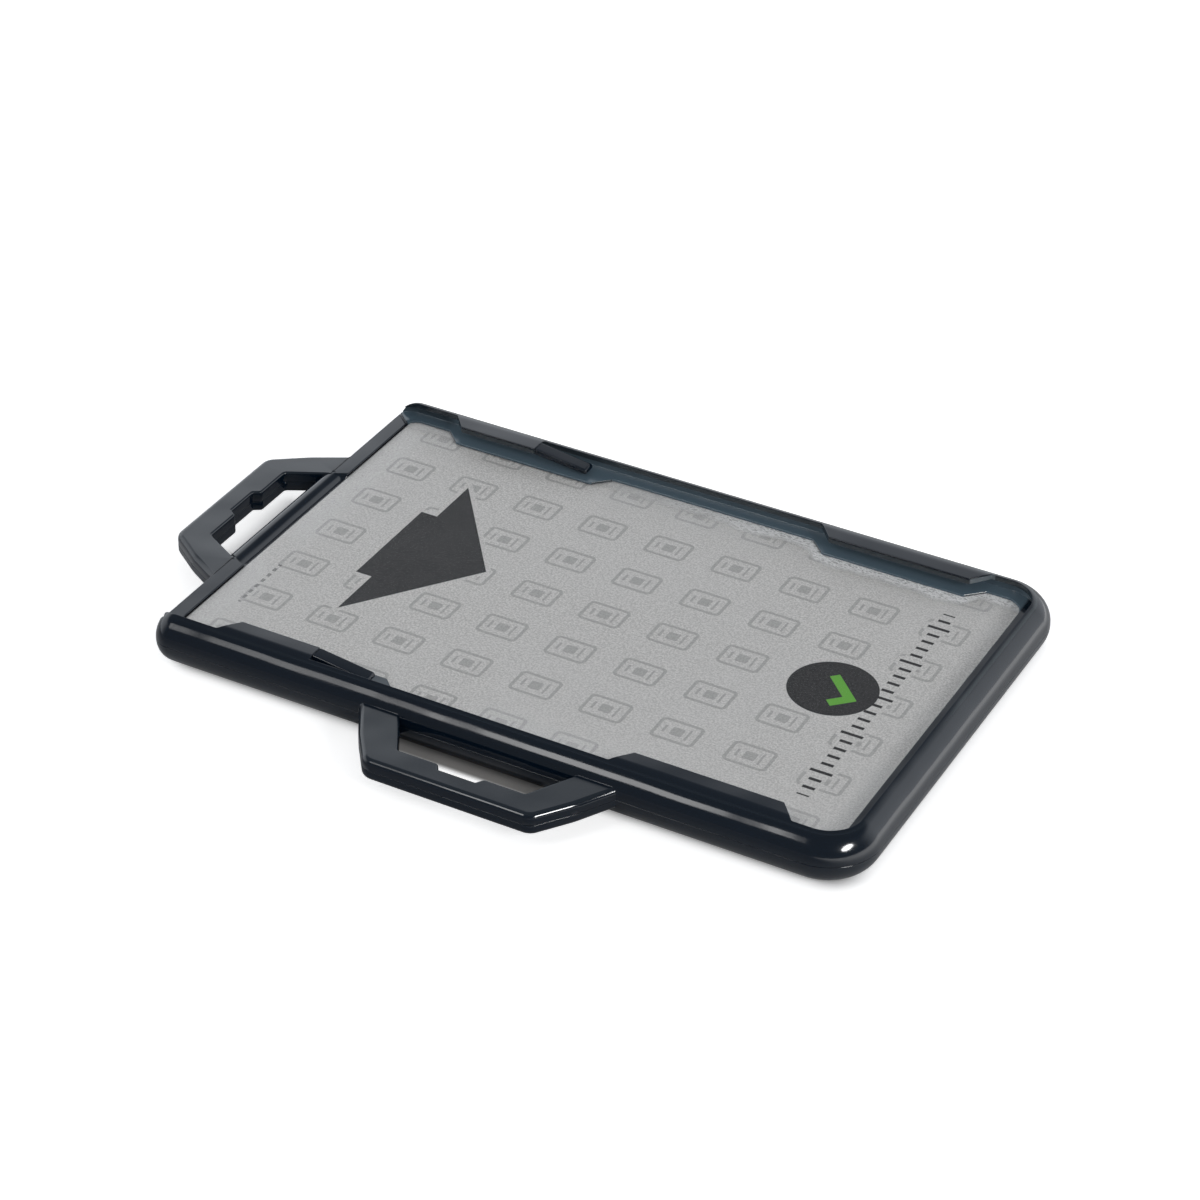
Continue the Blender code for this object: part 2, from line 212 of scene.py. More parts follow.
def corner_arcs(corners, step=math.radians(6)):
    """Turn (x, y, radius) corners into outline points, with an arc at each rounded corner."""
    points = []
    for index, (x, y, radius) in enumerate(corners):
        here = Vector((x, y))
        before = (Vector(corners[index - 1][:2]) - here).normalized()
        after = (Vector(corners[(index + 1) % len(corners)][:2]) - here).normalized()
        if radius <= 0:
            points.append(here)
            continue
        half_angle = before.angle(after) / 2
        centre = here + (before + after).normalized() * radius / math.sin(half_angle)
        tangent = radius / math.tan(half_angle)
        start = here + before * tangent - centre
        end = here + after * tangent - centre
        sweep = start.angle_signed(end)
        count = max(3, math.ceil(abs(sweep) / step))
        for turn in range(count + 1):
            spoke = start.copy()
            spoke.rotate(Matrix.Rotation(-sweep * turn / count, 2))
            points.append(centre + spoke)
    return points


def both_sides(far_side):
    return far_side + [(x, -y, radius) for x, y, radius in reversed(far_side)]


def draw_and_pull(name, points, pull):
    """Draw an outline vertex by vertex from a small plane, fill it, and pull the face out."""
    bpy.ops.object.select_all(action="DESELECT")
    bpy.ops.mesh.primitive_plane_add(size=MM, location=(points[0] + BODY_CENTRE) * MM)
    piece = bpy.context.active_object
    piece.name = name
    bpy.ops.object.mode_set(mode="EDIT")
    bpy.ops.mesh.select_mode(type="VERT")
    bpy.ops.mesh.merge(type="CENTER")
    for here, there in zip(points, points[1:] + points[:1]):
        bpy.ops.mesh.extrude_region_move(TRANSFORM_OT_translate={"value": (there - here) * MM})
    bpy.ops.mesh.select_all(action="SELECT")
    bpy.ops.mesh.remove_doubles(threshold=0.001 * MM)
    bpy.ops.mesh.edge_face_add()
    bpy.ops.mesh.extrude_region_move(TRANSFORM_OT_translate={"value": Vector(pull) * MM})
    bpy.ops.mesh.select_all(action="SELECT")
    bpy.ops.mesh.normals_make_consistent(inside=False)
    to_object()
    settle(piece)
    piece.data.name = name
    return piece


def plate(name, corners, low, high):
    """A flat plate between two levels, quartered so that no cut leaves a face with a hole in it."""
    points = [Vector((p.x, p.y, low)) for p in corner_arcs(corners)]
    piece = draw_and_pull(name, points, (0, 0, high - low))
    to_edit(piece)
    for across in ((1, 0, 0), (0, 1, 0)):
        bpy.ops.mesh.select_all(action="SELECT")
        bpy.ops.mesh.bisect(plane_co=BODY_CENTRE * MM, plane_no=across)
    to_object()
    return piece


def apply_modifier(piece, modifier):
    pick(piece)
    bpy.ops.object.modifier_apply(modifier=modifier.name)


def shape_with(piece, tool, operation="DIFFERENCE"):
    """Cut a tool out of the piece, or weld it on, and throw the tool away."""
    step = piece.modifiers.new("shape", "BOOLEAN")
    step.solver = "EXACT"
    step.operation = operation
    step.object = tool
    apply_modifier(piece, step)
    bpy.data.objects.remove(tool, do_unlink=True)


def clean_mesh(piece):
    to_edit(piece)
    bpy.ops.mesh.select_all(action="SELECT")
    bpy.ops.mesh.remove_doubles(threshold=0.003 * MM)
    bpy.ops.mesh.dissolve_degenerate(threshold=0.002 * MM)
    to_object()


def soften_shading(piece):
    pick(piece)
    bpy.ops.object.shade_smooth_by_angle(angle=math.radians(50))
    weight = piece.modifiers.new("weight", "WEIGHTED_NORMAL")
    weight.keep_sharp = True
    weight.weight = 80
    apply_modifier(piece, weight)


def mirrored_copy(piece, name, axis):
    """A copy with its own mesh, mirrored across the frame's middle plane on one axis."""
    pick(piece)
    bpy.ops.object.duplicate(linked=False)
    copy = bpy.context.active_object
    copy.name = name
    copy.data.name = name
    to_edit(copy)
    bpy.ops.mesh.select_all(action="SELECT")
    flip = [1, 1, 1]
    flip[axis] = -1
    bpy.ops.transform.resize(value=flip, center_override=BODY_CENTRE * MM)
    bpy.ops.mesh.normals_make_consistent(inside=False)
    to_object()
    return copy


# Half shells, tongues and films

def bay_corners(ends, outer, inner, chamfer):
    """The corners where a lip or pad stands in from the edge, with both of its ends slanted."""
    return [
        (ends[0], outer, MOULDED_CORNER),
        (ends[0] + chamfer, inner, MOULDED_CORNER),
        (ends[1] - chamfer, inner, MOULDED_CORNER),
        (ends[1], outer, MOULDED_CORNER),
    ]


def mouth_corners():
    """The tray's mouth between the rims and lips. The lips stop where their tongues start."""
    return both_sides([
        (-HALF_LENGTH - MOUTH_OVERRUN, RIM_HALF_WIDTH - NOSE_WALL_INSET, 0),
        (-HALF_LENGTH + RIM_BEND_DEPTH, RIM_HALF_WIDTH, NOSE_WALL_BEND),
        (OPEN_LIP[0], RIM_HALF_WIDTH, MOULDED_CORNER),
        (OPEN_LIP[0] + LIP_CHAMFER, LIP_HALF_WIDTH, MOULDED_CORNER),
        (OPEN_LIP[1], LIP_HALF_WIDTH, 0),
        (OPEN_LIP[1], RIM_HALF_WIDTH, 0),
        *bay_corners(CLOSED_LIP, RIM_HALF_WIDTH, LIP_HALF_WIDTH, LIP_CHAMFER),
        (RIM_END, RIM_HALF_WIDTH, TRAY_CORNER_RADIUS - RIM_OVERHANG),
    ])


def channel_corners():
    """The channel that a card slides in, under the rims and lips."""
    return both_sides([
        (-HALF_LENGTH - MOUTH_OVERRUN, TRAY_HALF_WIDTH - NOSE_WALL_INSET, 0),
        (-HALF_LENGTH + CHANNEL_BEND_DEPTH, TRAY_HALF_WIDTH, NOSE_WALL_BEND),
        (TRAY_END, TRAY_HALF_WIDTH, TRAY_CORNER_RADIUS),
    ])


def window_corners():
    return both_sides([
        (WINDOW_START, WINDOW_HALF_WIDTH, WINDOW_OPEN_RADIUS),
        *bay_corners(OPEN_PAD, WINDOW_HALF_WIDTH, PAD_HALF_WIDTH, PAD_CHAMFER),
        *bay_corners(CLOSED_PAD, WINDOW_HALF_WIDTH, PAD_HALF_WIDTH, PAD_CHAMFER),
        (WINDOW_END, WINDOW_HALF_WIDTH, WINDOW_CLOSED_RADIUS),
    ])


def pocket_corners(open_gap, gap):
    """The panel's pocket, or with gaps the outline of a sheet that lies in it."""
    return both_sides([
        (WINDOW_START + open_gap, POCKET_HALF_WIDTH - gap, PANEL_CORNER_RADIUS),
        (POCKET_END - gap, POCKET_HALF_WIDTH - gap, PANEL_CORNER_RADIUS),
    ])


def loop_corners(reach, bar, half_width, half_base, slot_half_width, slot_half_base, root):
    """A loop as (reach, offset, radius) corners: its arms, its bar and the notched slot."""
    slope = (half_base - half_width) / reach
    slot_reach = reach - bar
    narrowing = (slot_half_base - slot_half_width) / slot_reach
    bulge = (half_base + half_width) / 2 + ARM_BULGE
    return [
        (-root, half_base + slope * root, 0),
        (reach / 2, bulge, ARM_RADIUS),
        (reach, half_width, LOOP_CORNER_RADIUS),
        (reach, -half_width, LOOP_CORNER_RADIUS),
        (reach / 2, -bulge, ARM_RADIUS),
        (-root, -half_base - slope * root, 0),
        (-root, -slot_half_base - narrowing * root, 0),
        (slot_reach, -slot_half_width, SLOT_CORNER_RADIUS),
        (slot_reach, -NOTCH_HALF_WIDTH, NOTCH_OUTER_RADIUS),
        (slot_reach + NOTCH_DEPTH, -NOTCH_HALF_WIDTH + NOTCH_STEP, NOTCH_INNER_RADIUS),
        (slot_reach + NOTCH_DEPTH, NOTCH_HALF_WIDTH - NOTCH_STEP, NOTCH_INNER_RADIUS),
        (slot_reach, NOTCH_HALF_WIDTH, NOTCH_OUTER_RADIUS),
        (slot_reach, slot_half_width, SLOT_CORNER_RADIUS),
        (-root, slot_half_base + narrowing * root, 0),
    ]


def slot_slope(loop):
    """How much the slot narrows on each side for each millimetre of reach."""
    return (loop["slot_half_base"] - loop["slot_half_width"]) / (loop["reach"] - loop["bar"])


def mould_loop(name, corners, place, size):
    """A loop with full rounded outer edges and finer ones round its slot."""
    loop = plate(name, corners, LOOP_BOTTOM, LOOP_TOP)

    def is_outer(edge):
        reach, offset = place(middle(edge))
        past_slot = reach > size["reach"] - size["bar"] + 1.5
        return past_slot or abs(offset) > size["slot_half_base"] - slot_slope(size) * reach + 1.0

    round_edges(loop, lambda edge: is_level(edge, LOOP_TOP) and not is_outer(edge),
                SLOT_EDGE_ROUNDING, segments=4)
    round_edges(loop, lambda edge: is_level(edge, LOOP_TOP) and is_outer(edge) and is_sharp(edge, 60),
                LOOP_EDGE_ROUNDING, segments=7)
    return loop


def bar_scoop():
    """The hollow between the loop's arms that the round bar lies in, with ends that sweep up to them."""
    start, end = -HALF_LENGTH - END_OVERRUN, WINDOW_START + 1
    slope = slot_slope(TOP_LOOP)
    half_start = TOP_LOOP["slot_half_base"] - END_OVERRUN * slope - 0.02
    half_end = half_start + slope * (end - start)
    scoop = plate("scoop", [
        (start, TOP_LOOP_SHIFT - half_start, 0), (end, TOP_LOOP_SHIFT - half_end, 0),
        (end, TOP_LOOP_SHIFT + half_end, 0), (start, TOP_LOOP_SHIFT + half_start, 0),
    ], SCOOP_FLOOR, SCOOP_TOP)
    round_edges(scoop, lambda edge: is_level(edge, SCOOP_FLOOR)
                and abs(middle(edge).y - TOP_LOOP_SHIFT) > half_start, SCOOP_ROUNDING, segments=8)
    return scoop


def round_bar():
    """The round bar that a clip hangs on, pulled across between the loop's arms."""
    reach = TOP_LOOP["slot_half_base"] + BAR_EMBED
    turns = 16
    section = [(-BAR_RADIUS, BAR_BOTTOM - BAR_PLACE[1])]
    for turn in range(turns + 1):
        angle = math.radians(180 * turn / turns)
        section.append((-BAR_RADIUS * math.cos(angle), BAR_RADIUS * math.sin(angle)))
    section.append((BAR_RADIUS, BAR_BOTTOM - BAR_PLACE[1]))
    points = [Vector((BAR_PLACE[0] + x, TOP_LOOP_SHIFT - reach, BAR_PLACE[1] + z)) for x, z in section]
    return draw_and_pull("round_bar", points, (0, 2 * reach, 0))


def corner_crease():
    """The fine groove from the window's far corner out to the nose, where the bar meets the side ledge."""
    outer_end, inner_end = -HALF_LENGTH - END_OVERRUN, -42.7
    depth, clearance = 0.09, 0.03
    return plate("corner_crease", [
        (outer_end, 27.16, 0), (inner_end, 24.85, 0), (inner_end, 24.6, 0), (outer_end, 26.86, 0),
    ], LEDGE_TOP - depth, LEDGE_TOP + clearance)


def mould_blank(name):
    """The solid frame, with round rails that keep their height up to tighter roundings at the open end."""
    blank = plate(name, both_sides([
        (-HALF_LENGTH, HALF_WIDTH, 0), (HALF_LENGTH, HALF_WIDTH, CLOSED_CORNER_RADIUS),
    ]), BLANK_BOTTOM, HALF_THICKNESS)

    def is_at_open_end(edge):
        return all(is_near(v.co.x / MM - BODY_CENTRE.x, -HALF_LENGTH) for v in edge.verts)

    round_edges(blank, lambda edge: is_level(edge, HALF_THICKNESS) and is_sharp(edge, 40)
                and middle(edge).x > -HALF_LENGTH + 0.01, EDGE_ROUNDING, segments=14)
    round_edges(blank, lambda edge: is_sharp(edge, 40) and middle(edge).z > BLANK_BOTTOM + 0.01
                and is_at_open_end(edge), NOSE_ROUNDING, segments=8)
    return blank


def front_side():
    """A block over the whole front side, larger than the holder with its loops."""
    left, right, near, far, top = -60, 50, -45, 35, 5
    return plate("front_side", [(left, near, 0), (right, near, 0), (right, far, 0), (left, far, 0)], 0, top)


def weld_loops(shell):
    top = [(-HALF_LENGTH - reach, TOP_LOOP_SHIFT - offset, radius)
           for reach, offset, radius in loop_corners(**TOP_LOOP)]
    side = [(offset, -HALF_WIDTH - reach, radius)
            for reach, offset, radius in loop_corners(**SIDE_LOOP)]
    for loop in (
        mould_loop("top_loop", top, lambda at: (-HALF_LENGTH - at.x, at.y - TOP_LOOP_SHIFT), TOP_LOOP),
        mould_loop("side_loop", side, lambda at: (-HALF_WIDTH - at.y, at.x), SIDE_LOOP),
    ):
        shape_with(shell, loop, "UNION")


def mould_shell(name):
    """The front half: a rounded blank with its loops, hollowed and cut off at the parting plane."""
    shell = mould_blank(name)
    weld_loops(shell)
    shape_with(shell, plate("mouth", mouth_corners(), CUTS_MEET, HALF_THICKNESS + 1))
    shape_with(shell, plate("channel", channel_corners(), LEDGE_TOP, LIP_BOTTOM))
    shape_with(shell, bar_scoop())
    shape_with(shell, round_bar(), "UNION")
    shape_with(shell, corner_crease())
    shape_with(shell, plate("window", window_corners(), CUT_BOTTOM, CUTS_MEET))
    shape_with(shell, plate("pocket", pocket_corners(-0.05, 0), CUT_BOTTOM, PANEL_TOP))
    shape_with(shell, front_side(), "INTERSECT")
    clean_mesh(shell)
    round_edges(shell, lambda edge: is_sharp(edge, 40) and middle(edge).z > 0.01,
                EDGE_SOFTNESS, segments=2)
    round_edges(shell, lambda edge: is_sharp(edge, 40) and middle(edge).z < 0.01,
                PARTING_SOFTNESS, segments=1)
    return shell


def mould_tongue(name):
    """The far front tongue, drawn from the side and pulled across."""
    points = [Vector((x, LIP_HALF_WIDTH, z)) for x, z in (
        (OPEN_LIP[1] + ROOT_GAP_BOTTOM, LIP_BOTTOM), (OPEN_LIP[1] + ROOT_GAP_TOP, HALF_THICKNESS),
        (TONGUE_END, TONGUE_TIP_TOP), (TONGUE_END, TONGUE_TIP_BOTTOM),
    )]
    tongue = draw_and_pull(name, points, (0, TONGUE_WIDTH, 0))
    centre_line = LIP_HALF_WIDTH + TONGUE_WIDTH / 2
    past_root = OPEN_LIP[1] + 0.1
    round_edges(tongue, lambda edge: middle(edge).x > TONGUE_END - 0.1
                and abs(middle(edge).y - centre_line) < 0.1, TONGUE_TIP_ROUNDING, segments=6)
    round_edges(tongue, lambda edge: is_sharp(edge, 60) and middle(edge).x > past_root,
                TONGUE_EDGE_ROUNDING, segments=4)
    round_edges(tongue, lambda edge: is_sharp(edge, 60) and middle(edge).x < past_root,
                TONGUE_ROOT_ROUNDING, segments=1)
    return tongue


def lay_film(name):
    """The clear film on the front sheet, a hair above it, with a softly rounded edge."""
    film = plate(name, pocket_corners(PANEL_OPEN_CLEARANCE, PANEL_CLEARANCE),
                 PANEL_TOP - FILM_THICKNESS, PANEL_TOP)
    round_edges(film, lambda edge: is_sharp(edge, 60), FILM_EDGE_ROUNDING, segments=2)
    return film


# Finishes

def link(tree, start, end):
    tree.links.new(start, end)


def node(tree, kind, **settings):
    made = tree.nodes.new(kind)
    for key, value in settings.items():
        setattr(made, key, value)
    return made


def feed(tree, socket, value):
    if isinstance(value, bpy.types.NodeSocket):
        tree.links.new(value, socket)
    else:
        socket.default_value = value


def sums(tree, operation, a, b=0.0, c=0.0):
    """One Math node and its result."""
    made = node(tree, "ShaderNodeMath", operation=operation)
    for socket, value in zip(made.inputs, (a, b, c)):
        feed(tree, socket, value)
    return made.outputs[0]


def vectors(tree, operation, a, b=(0, 0, 0)):
    made = node(tree, "ShaderNodeVectorMath", operation=operation)
    feed(tree, made.inputs[0], a)
    feed(tree, made.inputs[1], b)
    return made.outputs["Value" if operation == "LENGTH" else "Vector"]


def product(tree, *values):
    result = values[0]
    for value in values[1:]:
        result = sums(tree, "MULTIPLY", result, value)
    return result


def split(tree, place):
    """The three coordinates of a place."""
    apart = node(tree, "ShaderNodeSeparateXYZ")
    link(tree, place, apart.inputs[0])
    return apart.outputs["X"], apart.outputs["Y"], apart.outputs["Z"]


def about_centre(tree, place):
    """A place measured from the frame's centre."""
    return vectors(tree, "SUBTRACT", place, BODY_CENTRE * MM)


def fade(tree, value, start, end):
    """0 at start and 1 at end, with a smooth step between them."""
    made = node(tree, "ShaderNodeMapRange", interpolation_type="SMOOTHSTEP")
    feed(tree, made.inputs["Value"], value)
    feed(tree, made.inputs["From Min"], start)
    feed(tree, made.inputs["From Max"], end)
    return made.outputs["Result"]


def fade_mm(tree, value, start, end):
    """A fade between two places in millimetres."""
    return fade(tree, value, start * MM, end * MM)


def from_floor(tree, mask, floor):
    """A mask that starts at a floor instead of 0."""
    return sums(tree, "MULTIPLY_ADD", mask, 1 - floor, floor)


def blend_colour(tree, factor, low, high):
    made = node(tree, "ShaderNodeMix", data_type="RGBA")
    feed(tree, made.inputs["Factor"], factor)
    feed(tree, made.inputs["A"], low)
    feed(tree, made.inputs["B"], high)
    return made.outputs["Result"]


def noise(tree, place, scale, detail=2.0, rough=0.5):
    made = node(tree, "ShaderNodeTexNoise")
    feed(tree, made.inputs["Vector"], place)
    feed(tree, made.inputs["Scale"], scale)
    feed(tree, made.inputs["Detail"], detail)
    feed(tree, made.inputs["Roughness"], rough)
    return made.outputs["Fac"]


def bump(tree, height):
    """A normal from a height in micrometres."""
    made = node(tree, "ShaderNodeBump")
    made.inputs["Distance"].default_value = 0.001 * MM
    link(tree, height, made.inputs["Height"])
    return made.outputs["Normal"]


def new_group(name, inputs, outputs):
    group = bpy.data.node_groups.new(name, "ShaderNodeTree")
    for socket_name, kind, value in inputs:
        made = group.interface.new_socket(socket_name, in_out="INPUT", socket_type=kind)
        if value is not None:
            made.default_value = value
    for socket_name, kind in outputs:
        group.interface.new_socket(socket_name, in_out="OUTPUT", socket_type=kind)
    return group, group.nodes.new("NodeGroupInput"), group.nodes.new("NodeGroupOutput")


def place_group(tree, group, **values):
    made = node(tree, "ShaderNodeGroup", node_tree=group)
    for key, value in values.items():
        feed(tree, made.inputs[key.replace("_", " ")], value)
    return made


def make_handling_wear():
    """Mould waviness, fine texture, smudges and hairline scuffs. Height is in micrometres."""
    group, given, result = new_group("handling_wear", [
        ("Place", "NodeSocketVector", None), ("Texture Scale", "NodeSocketFloat", 3000.0),
        ("Texture", "NodeSocketFloat", 1.5), ("Waviness", "NodeSocketFloat", 0.0),
        ("Smudges", "NodeSocketFloat", 0.05), ("Scuffs", "NodeSocketFloat", 0.1),
    ], [("Roughness", "NodeSocketFloat"), ("Height", "NodeSocketFloat")])
    place = given.outputs["Place"]
    grain = noise(group, place, given.outputs["Texture Scale"], 2)
    texture = sums(group, "MULTIPLY", grain, given.outputs["Texture"])
    wave = sums(group, "MULTIPLY", noise(group, place, 110, 1), given.outputs["Waviness"])
    stretched = vectors(group, "MULTIPLY", place, (200, 1800, 900))
    hairline = fade(group, noise(group, stretched, 1, 3, 0.6), 0.62, 0.78)
    scuffed = sums(group, "MULTIPLY", hairline, given.outputs["Scuffs"])
    smudge = fade(group, noise(group, place, 120, 3), 0.35, 0.75)
    rough = sums(group, "MULTIPLY_ADD", smudge, given.outputs["Smudges"], scuffed)
    height = sums(group, "ADD", sums(group, "ADD", texture, wave), sums(group, "MULTIPLY", scuffed, -8))
    link(group, rough, result.inputs["Roughness"])
    link(group, height, result.inputs["Height"])
    return group


def make_box_mark():
    """How far a place is outside a rounded box: below 0 inside it."""
    group, given, result = new_group("box_mark", [
        ("Place", "NodeSocketVector", None), ("Centre", "NodeSocketVector", None),
        ("Half Size", "NodeSocketVector", None), ("Radius", "NodeSocketFloat", 0.3 * MM),
    ], [("Outside", "NodeSocketFloat")])
    from_centre = vectors(group, "SUBTRACT", given.outputs["Place"], given.outputs["Centre"])
    away = vectors(group, "SUBTRACT", vectors(group, "ABSOLUTE", from_centre), given.outputs["Half Size"])
    away_x, away_y, _ = split(group, away)
    inset_x = sums(group, "ADD", away_x, given.outputs["Radius"])
    inset_y = sums(group, "ADD", away_y, given.outputs["Radius"])
    out_x = sums(group, "MAXIMUM", inset_x, 0)
    out_y = sums(group, "MAXIMUM", inset_y, 0)
    square = sums(group, "MULTIPLY_ADD", out_x, out_x, sums(group, "MULTIPLY", out_y, out_y))
    corner = sums(group, "SQRT", square)
    inner = sums(group, "MINIMUM", sums(group, "MAXIMUM", inset_x, inset_y), 0)
    outside = sums(group, "SUBTRACT", sums(group, "ADD", corner, inner), given.outputs["Radius"])
    link(group, outside, result.inputs["Outside"])
    return group


# Half the width of a printed mark's soft edge, in millimetres
INK_EDGE = 0.04


def inked(tree, outside):
    """Full ink inside a mark and none outside, with a narrow soft edge."""
    return fade_mm(tree, outside, INK_EDGE, -INK_EDGE)


def outlined(tree, outside, line):
    """Ink along a mark's outline, with the line's width in millimetres."""
    return inked(tree, sums(tree, "SUBTRACT", sums(tree, "ABSOLUTE", outside), line / 2 * MM))


def most(tree, *values):
    result = values[0]
    for value in values[1:]:
        result = sums(tree, "MAXIMUM", result, value)
    return result


def box_outside(tree, box_mark, place, centre, half, radius):
    """How far a place is outside a rounded box that is given in millimetres."""
    mark = place_group(tree, box_mark, Place=place, Centre=(centre[0] * MM, centre[1] * MM, 0),
                       Half_Size=(half[0] * MM, half[1] * MM, 0), Radius=radius * MM)
    return mark.outputs["Outside"]


def off_line(tree, x, y, start, end):
    """Signed distance from the line through two points in millimetres, positive on its left."""
    run = Vector(end) - Vector(start)
    normal = Vector((-run.y, run.x)).normalized()
    level = sums(tree, "MULTIPLY_ADD", x, normal.x, sums(tree, "MULTIPLY", y, normal.y))
    return sums(tree, "ADD", level, -normal.dot(Vector(start)) * MM)


def off_band(tree, value, centre, half):
    """How far a value is outside a band."""
    return sums(tree, "SUBTRACT", sums(tree, "ABSOLUTE", sums(tree, "SUBTRACT", value, centre)), half)


def off_strokes(tree, value, pitch, half):
    """How far a value is outside the nearest of evenly spaced strokes."""
    in_step = sums(tree, "SUBTRACT", sums(tree, "FRACT", sums(tree, "DIVIDE", value, pitch)), 0.5)
    from_middle = sums(tree, "MULTIPLY", sums(tree, "ABSOLUTE", in_step), pitch)
    return sums(tree, "SUBTRACT", from_middle, half)


def ink_pictograms(tree, box_mark, place):
    """Badge pictograms in straight rows and columns."""
    pitch = Vector((9.0, 8.2, 1)) * MM
    steps = vectors(tree, "ADD", vectors(tree, "DIVIDE", place, pitch), (0.62, 0.5, 0))
    cell = vectors(tree, "SUBTRACT", vectors(tree, "FRACTION", steps), (0.5, 0.5, 0))
    cell = vectors(tree, "MULTIPLY", cell, pitch)
    card = outlined(tree, box_outside(tree, box_mark, cell, (0, 0), (2.5, 1.8), 0.5), 0.42)
    slot = inked(tree, box_outside(tree, box_mark, cell, (-1.55, 0), (0.16, 0.7), 0.12))
    picture = inked(tree, box_outside(tree, box_mark, cell, (0, 0), (0.75, 0.75), 0.2))
    line = inked(tree, box_outside(tree, box_mark, cell, (1.35, 0), (0.14, 1.05), 0.1))
    return most(tree, card, slot, picture, line)


def outside_arrow(tree, box_mark, place, along, across):
    """An arrow that points towards the closed end, with a short shaft."""
    left, right, tip = (-28.75, 16.2), (-28.75, -14.2), (-17.5, 1.0)
    point = most(tree,
                 sums(tree, "SUBTRACT", left[0] * MM, along),
                 off_line(tree, along, across, left, tip),
                 off_line(tree, along, across, tip, right))
    shaft = box_outside(tree, box_mark, place, (-29.8, 1.0), (1.1, 7.6), 0.05)
    return sums(tree, "MINIMUM", point, shaft)


def outside_disc(tree, box_mark, place):
    """How far a place is outside a disc, and outside the tick in it."""
    from_middle = vectors(tree, "SUBTRACT", place, Vector((28.4, -0.2, 0)) * MM)
    flat = vectors(tree, "MULTIPLY", from_middle, (1, 1, 0))
    disc = sums(tree, "SUBTRACT", vectors(tree, "LENGTH", flat), 5.3 * MM)
    turn = node(tree, "ShaderNodeVectorRotate", rotation_type="Z_AXIS")
    link(tree, flat, turn.inputs["Vector"])
    turn.inputs["Angle"].default_value = math.radians(45)
    turned = turn.outputs["Vector"]
    long_arm = box_outside(tree, box_mark, turned, (0.35, 1.1), (2.7, 0.62), 0.1)
    short_arm = box_outside(tree, box_mark, turned, (2.45, 0.1), (0.62, 1.6), 0.1)
    return disc, sums(tree, "MINIMUM", long_arm, short_arm)


def outside_scale(tree, along, across):
    """A scale of short strokes with a longer one at every fifth: its strokes, and the room they take."""
    fifth = sums(tree, "SUBTRACT", sums(tree, "FRACT", sums(tree, "DIVIDE", across, 8.0 * MM)), 0.1)
    is_long = sums(tree, "LESS_THAN", sums(tree, "ABSOLUTE", fifth), 0.1)
    reach = sums(tree, "MULTIPLY_ADD", is_long, 0.6 * MM, 0.75 * MM)
    room = most(tree, off_band(tree, along, 34.0 * MM, reach), off_band(tree, across, 0, 20.0 * MM))
    return most(tree, off_strokes(tree, across, 1.6 * MM, 0.24 * MM), room), room


def outside_dashes(tree, along, across):
    """Ruled dashes near the open end."""
    return most(tree,
                off_strokes(tree, across, 1.3 * MM, 0.36 * MM),
                off_band(tree, along, -39.4 * MM, 0.22 * MM),
                off_band(tree, across, -14.3 * MM, 4.5 * MM))


def make_sheet_print(box_mark):
    """The sheet's printed marks, with room kept clear of pictograms round the larger ones."""
    group, given, result = new_group("sheet_print", [("Place", "NodeSocketVector", None)], [
        ("Pictograms", "NodeSocketFloat"), ("Dark Marks", "NodeSocketFloat"),
        ("Green Marks", "NodeSocketFloat"),
    ])
    place = about_centre(group, given.outputs["Place"])
    along, across, _ = split(group, place)
    arrow = outside_arrow(group, box_mark, place, along, across)
    disc, tick = outside_disc(group, box_mark, place)
    scale, scale_room = outside_scale(group, along, across)
    dashes = sums(group, "MULTIPLY", inked(group, outside_dashes(group, along, across)), 0.7)
    dark = most(group, inked(group, arrow), inked(group, disc), inked(group, scale), dashes)
    room = sums(group, "MINIMUM",
                sums(group, "SUBTRACT", sums(group, "MINIMUM", arrow, disc), 0.6 * MM),
                sums(group, "SUBTRACT", scale_room, 0.4 * MM))
    clear = fade_mm(group, room, -INK_EDGE, INK_EDGE)
    pictograms = sums(group, "MULTIPLY", ink_pictograms(group, box_mark, place), clear)
    link(group, pictograms, result.inputs["Pictograms"])
    link(group, dark, result.inputs["Dark Marks"])
    link(group, inked(group, tick), result.inputs["Green Marks"])
    return group


def new_material(name):
    material = bpy.data.materials.new(name)
    material.use_nodes = True
    tree = material.node_tree
    shader = tree.nodes["Principled BSDF"]
    place = node(tree, "ShaderNodeTexCoord").outputs["Object"]
    return material, tree, shader, place


